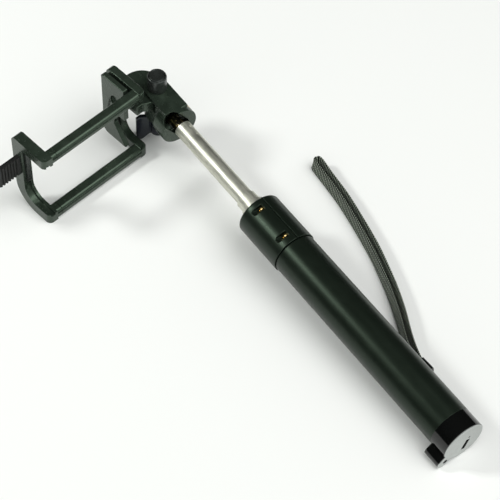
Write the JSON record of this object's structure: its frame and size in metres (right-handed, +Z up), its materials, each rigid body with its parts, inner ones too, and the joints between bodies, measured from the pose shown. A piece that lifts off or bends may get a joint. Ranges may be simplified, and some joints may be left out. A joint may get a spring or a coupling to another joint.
{
  "type": "selfie stick",
  "caption": "Telescopic stick with a sprung phone clamp on a folding head, a charging socket in its butt cap and a wrist strap.",
  "frame": {"origin": "centre of the butt cap's end face, on the stick's axis", "axes": "+X towards the clamp, +Y to the side the clamp reaches out, +Z up as the stick lies on a table; the stick's axis rises from +X by 4.443 degrees"},
  "size_m": [0.2795, 0.1598, 0.0566],
  "materials": {
    "handle_black": "satin black rubberised paint",
    "cap_black": "gloss black",
    "clamp_plastic": "satin charcoal moulding",
    "dark_plastic": "black moulding",
    "wing_plastic": "gloss blue-black",
    "button_rubber": "soft matt",
    "tab_rubber": "soft matt, ribbed",
    "tube_steel": "polished stainless steel",
    "rod_steel": "drawn bar",
    "spring_steel": "music wire",
    "screw_steel": "zinc plated",
    "brass": "turned brass",
    "plug_metal": "blackened brass, bright where it is worn",
    "bush_plastic": "natural acetal",
    "board_green": "solder mask",
    "cell_foil": "foil pouch",
    "led_red": "clear red light pipe",
    "strap_fabric": "woven black webbing",
    "strap_plastic": "black moulding"
  },
  "bodies": {
    "handle": {"handle_tube": "handle_black", "collar": "handle_black", "clamp_screws": "brass", "end_cap": "cap_black", "usb_socket": "screw_steel", "usb_tongue": "dark_plastic", "charge_led": "led_red", "circuit_board": "board_green", "battery": "cell_foil", "tube_seat": "dark_plastic", "outer_tube": "tube_steel", "switch_board": "board_green", "dome_switch": "screw_steel", "strap_webbing": "strap_fabric", "strap_clip": "strap_plastic", "strap_cord": "strap_plastic"},
    "button": {"shutter_button": "button_rubber"},
    "section_4": {"tube_4": "tube_steel", "slip_bush_4": "bush_plastic"},
    "section_3": {"tube_3": "tube_steel", "slip_bush_3": "bush_plastic"},
    "section_2": {"tube_2": "tube_steel", "slip_bush_2": "bush_plastic"},
    "section_1": {"tube_1": "tube_steel", "slip_bush_1": "bush_plastic", "tube_end_plug": "plug_metal", "fold_washers": "dark_plastic"},
    "head": {"head_block": "clamp_plastic", "fold_pin": "brass", "pivot_bolt": "screw_steel", "pivot_knob": "dark_plastic", "pivot_washer": "screw_steel"},
    "wing": {"wing_nut": "wing_plastic"},
    "clamp": {"near_jaw_frame": "clamp_plastic", "near_jaw_plate": "clamp_plastic", "jaw_screws": "screw_steel", "upper_arm": "clamp_plastic", "lower_arm": "clamp_plastic", "upper_spring": "spring_steel", "lower_spring": "spring_steel"},
    "far_jaw": {"far_jaw_frame": "clamp_plastic", "upper_rod": "rod_steel", "lower_rod": "rod_steel", "rod_stops": "rod_steel", "tab_clip": "dark_plastic", "pull_tab": "tab_rubber"}
  },
  "joints": [
    {"name": "shutter_press", "type": "slide", "parent": "handle", "child": "button", "axis": [-0.0327, 0.9063, 0.4213], "range_m": [0, 0.00035], "stiffness_N_per_m": 2000, "springref_m": -0.0002},
    {"name": "tube_slide_4", "type": "slide", "parent": "handle", "child": "section_4", "axis": [0.997, 0, 0.0775], "range_m": [0, 0.105]},
    {"name": "tube_slide_3", "type": "slide", "parent": "section_4", "child": "section_3", "axis": [0.997, 0, 0.0775], "range_m": [0, 0.105]},
    {"name": "tube_slide_2", "type": "slide", "parent": "section_3", "child": "section_2", "axis": [0.997, 0, 0.0775], "range_m": [0, 0.105]},
    {"name": "tube_slide_1", "type": "slide", "parent": "section_2", "child": "section_1", "axis": [0.997, 0, 0.0775], "range_m": [-0.055, 0.05]},
    {"name": "head_fold", "type": "hinge", "parent": "section_1", "child": "head", "pos_m": [0.24028, 0, 0.01867], "axis": [-0.0433, -0.829, 0.5575], "range_deg": [0, 60]},
    {"name": "wing_turn", "type": "hinge", "parent": "head", "child": "wing", "pos_m": [0.25772, 0, 0.02003], "axis": [-0.0775, 0, 0.997], "range_deg": [0, 170]},
    {"name": "clamp_turn", "type": "hinge", "parent": "head", "child": "clamp", "pos_m": [0.25772, 0, 0.02003], "axis": [-0.0775, 0, 0.997], "range_deg": [-98, 8]},
    {"name": "jaw_slide", "type": "slide", "parent": "clamp", "child": "far_jaw", "axis": [-0.1415, 0.9899, -0.011], "range_m": [0, 0.03], "stiffness_N_per_m": 300, "springref_m": -0.02, "deforming": ["upper_spring", "lower_spring"]}
  ]
}
